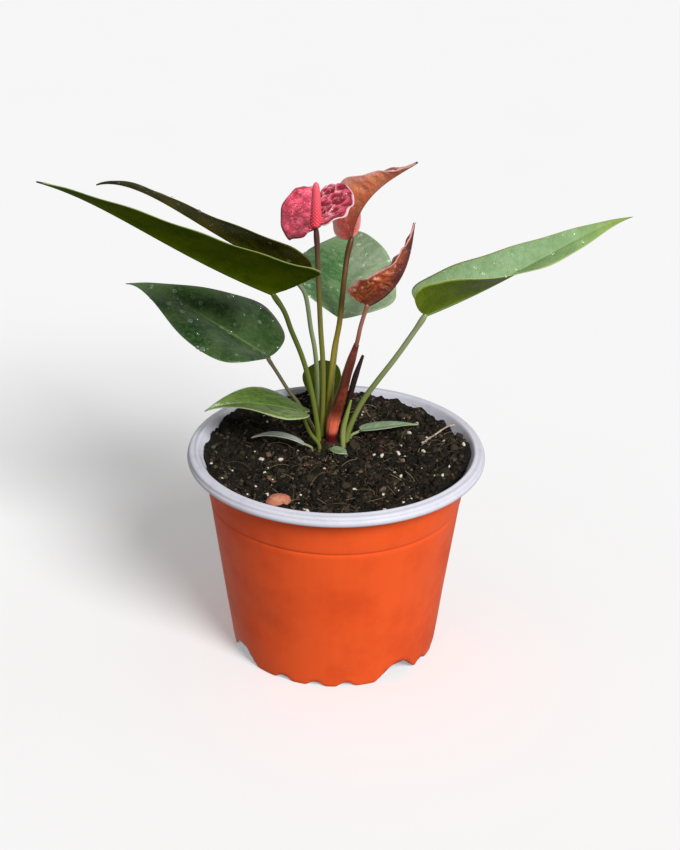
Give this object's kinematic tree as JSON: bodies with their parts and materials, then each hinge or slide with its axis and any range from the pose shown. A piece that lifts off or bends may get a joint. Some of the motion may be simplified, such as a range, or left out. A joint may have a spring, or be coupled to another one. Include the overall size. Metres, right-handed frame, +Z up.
{
  "type": "potted anthurium",
  "caption": "Young flowering anthurium with long-stemmed heart-shaped leaves, one red spathe with a pink spadix, growing in soil in a thin orange nursery pot with a white rolled rim.",
  "frame": {"origin": "on the surface that the pot stands on, under the middle of the whole plant's box; the pot's own axis is 6.4 mm to its left and 23.6 mm in front of it", "axes": "+Z up along the pot's axis; -Y towards the viewer of the picture, +Y to the back; +X to the viewer's right, where the longest leaves spread"},
  "size_m": [0.2509, 0.1772, 0.228],
  "materials": {
    "pot_plastic": "satin, orange outside, white inside and on the rim",
    "potting_soil": "matte, dark crumbly peat with white perlite and fibres",
    "crown": "matte, scaly",
    "clay_pebble": "matte, rough",
    "dry_twig": "matte, dry",
    "leaf_dark_olive": "satin, dark olive, some water drops",
    "leaf_deep_green": "satin, dark green with a blue sheen, water drops",
    "leaf_light_green": "satin, light green",
    "leaf_pale_green": "satin, pale grey-green, olive underneath, water drops",
    "leaf_maroon": "glossy, maroon-brown young leaf",
    "leaf_copper": "glossy, copper young leaf with pink streaks",
    "leaf_grey_green": "satin, grey-green",
    "stem_green": "satin, green",
    "stem_pale": "satin, pale green",
    "stem_brown": "satin, brown fading to olive",
    "stem_pink": "satin, pink-brown",
    "red_sheath": "satin, red-brown, ribbed",
    "dry_sheath": "matte, dry and dark",
    "spathe": "glossy, crimson-pink, puckered",
    "spadix": "matte, coral pink, pimpled"
  },
  "bodies": {
    "root": {"pot": "pot_plastic", "soil": "potting_soil", "crown": "crown", "pebble": "clay_pebble", "twig": "dry_twig", "flower_spathe": "spathe", "flower_peduncle": "stem_brown", "flower_spadix": "spadix", "red_sheath": "red_sheath", "dry_sheath": "dry_sheath", "green_sheath": "stem_green", "upper_left_long_blade": "leaf_dark_olive", "upper_left_long_petiole": "stem_green", "upper_left_back_blade": "leaf_dark_olive", "upper_left_back_petiole": "stem_pale", "left_wide_blade": "leaf_deep_green", "left_wide_petiole": "stem_brown", "left_low_blade": "leaf_light_green", "left_low_petiole": "stem_green", "back_centre_blade": "leaf_pale_green", "back_centre_petiole": "stem_green", "right_long_blade": "leaf_pale_green", "right_long_petiole": "stem_green", "young_maroon_blade": "leaf_maroon", "young_maroon_petiole": "stem_pink", "young_copper_blade": "leaf_copper", "young_copper_petiole": "stem_brown", "back_small_blade": "leaf_deep_green", "back_small_petiole": "stem_green", "low_right_blade": "leaf_light_green", "low_right_petiole": "stem_green", "low_left_blade": "leaf_grey_green", "low_left_petiole": "stem_green", "tiny_front_blade": "leaf_grey_green", "tiny_front_petiole": "stem_green"}
  },
  "joints": []
}
